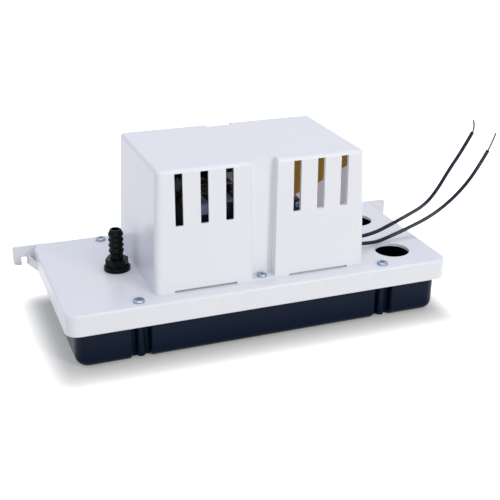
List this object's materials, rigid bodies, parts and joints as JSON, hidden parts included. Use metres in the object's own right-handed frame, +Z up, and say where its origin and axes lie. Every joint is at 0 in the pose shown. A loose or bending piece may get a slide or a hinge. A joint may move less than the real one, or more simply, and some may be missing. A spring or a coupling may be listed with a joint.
{
  "type": "condensate pump",
  "caption": "Low-profile condensate pump: dark tank, white cover with wall ears, slotted motor cover, hose barb, float switch, centrifugal pump and two bare leads.",
  "frame": {"origin": "under the middle of the tank cover, on the surface the tank stands on", "axes": "+X along the tank from the hose barb to the inlets, +Y towards the wall it can hang on, +Z up"},
  "size_m": [0.4043, 0.1456, 0.1424],
  "materials": {
    "cover_plastic": "glossy white ABS moulding",
    "tank_plastic": "glossy blue-black ABS moulding",
    "zinc_screw": "bright zinc plate",
    "lamination_steel": "stacked electrical steel with a dark oxide",
    "copper": "bare copper",
    "bobbin_nylon": "natural nylon",
    "enamelled_wire": "enamelled copper wire",
    "coil_tape": "dark blue tape with a pale patch",
    "strap_steel": "plain zinc plated strap",
    "bearing_bronze": "oiled sintered bronze",
    "fan_plastic": "black nylon",
    "pump_plastic": "black acetal",
    "tube_vinyl": "cloudy vinyl tube",
    "seal_rubber": "black nitrile",
    "barb_plastic": "near-black nylon",
    "white_nylon": "natural white nylon",
    "yellow_passivated_steel": "yellow passivated zinc plate",
    "switch_phenolic": "black phenolic",
    "barrier_paper": "grey fish paper",
    "terminal_brass": "brass",
    "lead_insulation": "blue-black PVC insulation",
    "stainless_steel": "ground stainless steel",
    "rotor_aluminium": "die-cast end rings on a steel core",
    "float_foam": "closed-cell foam"
  },
  "bodies": {
    "pump": {"tank": "tank_plastic", "tank_cover": "cover_plastic", "motor_cover": "cover_plastic", "tank_cover_screws": "zinc_screw", "motor_cover_screws": "zinc_screw", "motor_laminations": "lamination_steel", "shading_rings": "copper", "coil_bobbin": "bobbin_nylon", "coil_winding": "enamelled_wire", "coil_wrap": "coil_tape", "upper_bearing_bracket": "strap_steel", "lower_bearing_bracket": "strap_steel", "motor_bearings": "bearing_bronze", "motor_bolts": "zinc_screw", "pump_housing": "pump_plastic", "volute_cover": "pump_plastic", "pump_screws": "zinc_screw", "discharge_tube": "tube_vinyl", "check_valve_body": "pump_plastic", "valve_seat": "seal_rubber", "discharge_barb": "barb_plastic", "rod_guide": "white_nylon", "switch_bracket": "yellow_passivated_steel", "bracket_screws": "zinc_screw", "pump_switch": "switch_phenolic", "safety_switch": "switch_phenolic", "switch_barrier": "barrier_paper", "switch_terminals": "terminal_brass", "switch_screws": "zinc_screw", "switch_nuts": "zinc_screw", "lever_pin": "strap_steel", "pin_clip": "strap_steel", "lead_bushing": "barb_plastic", "lead_lower": "lead_insulation", "lead_upper": "lead_insulation", "lead_strands": "copper"},
    "rotating_set": {"motor_shaft": "stainless_steel", "rotor": "rotor_aluminium", "cooling_fan": "fan_plastic", "water_slinger": "seal_rubber", "impeller": "pump_plastic"},
    "float": {"float_block": "float_foam", "float_rod": "stainless_steel", "rod_clips": "strap_steel"},
    "lever": {"switch_lever": "strap_steel"},
    "pump_plunger": {"pump_switch_plunger": "white_nylon"},
    "safety_plunger": {"safety_switch_plunger": "white_nylon"},
    "ball": {"valve_ball": "white_nylon"}
  },
  "joints": [
    {"name": "rotor_spin", "type": "hinge", "parent": "pump", "child": "rotating_set", "pos_m": [-0.034, -0.002, 0.094], "axis": [0, 0, 1], "continuous": true},
    {"name": "float_lift", "type": "slide", "parent": "pump", "child": "float", "axis": [0, 0, 1], "range_m": [0, 0.012]},
    {"name": "lever_tilt", "type": "hinge", "parent": "pump", "child": "lever", "pos_m": [0.02, -0.0282, 0.0825], "axis": [0, -1, 0], "range_deg": [0, 17.07]},
    {"name": "pump_plunger_push", "type": "slide", "parent": "pump", "child": "pump_plunger", "axis": [0, 0, 1], "range_m": [0, 0.0015]},
    {"name": "safety_plunger_push", "type": "slide", "parent": "pump", "child": "safety_plunger", "axis": [0, 0, 1], "range_m": [0, 0.0015]},
    {"name": "valve_ball_lift", "type": "slide", "parent": "pump", "child": "ball", "axis": [0, 0, 1], "range_m": [0, 0.003]}
  ],
  "couplings": [
    {"joint": "lever_tilt", "follows": "float_lift", "rad_per_m": 24.815},
    {"joint": "pump_plunger_push", "follows": "float_lift", "ratio": 0.125},
    {"joint": "safety_plunger_push", "follows": "float_lift", "ratio": 0.125}
  ]
}
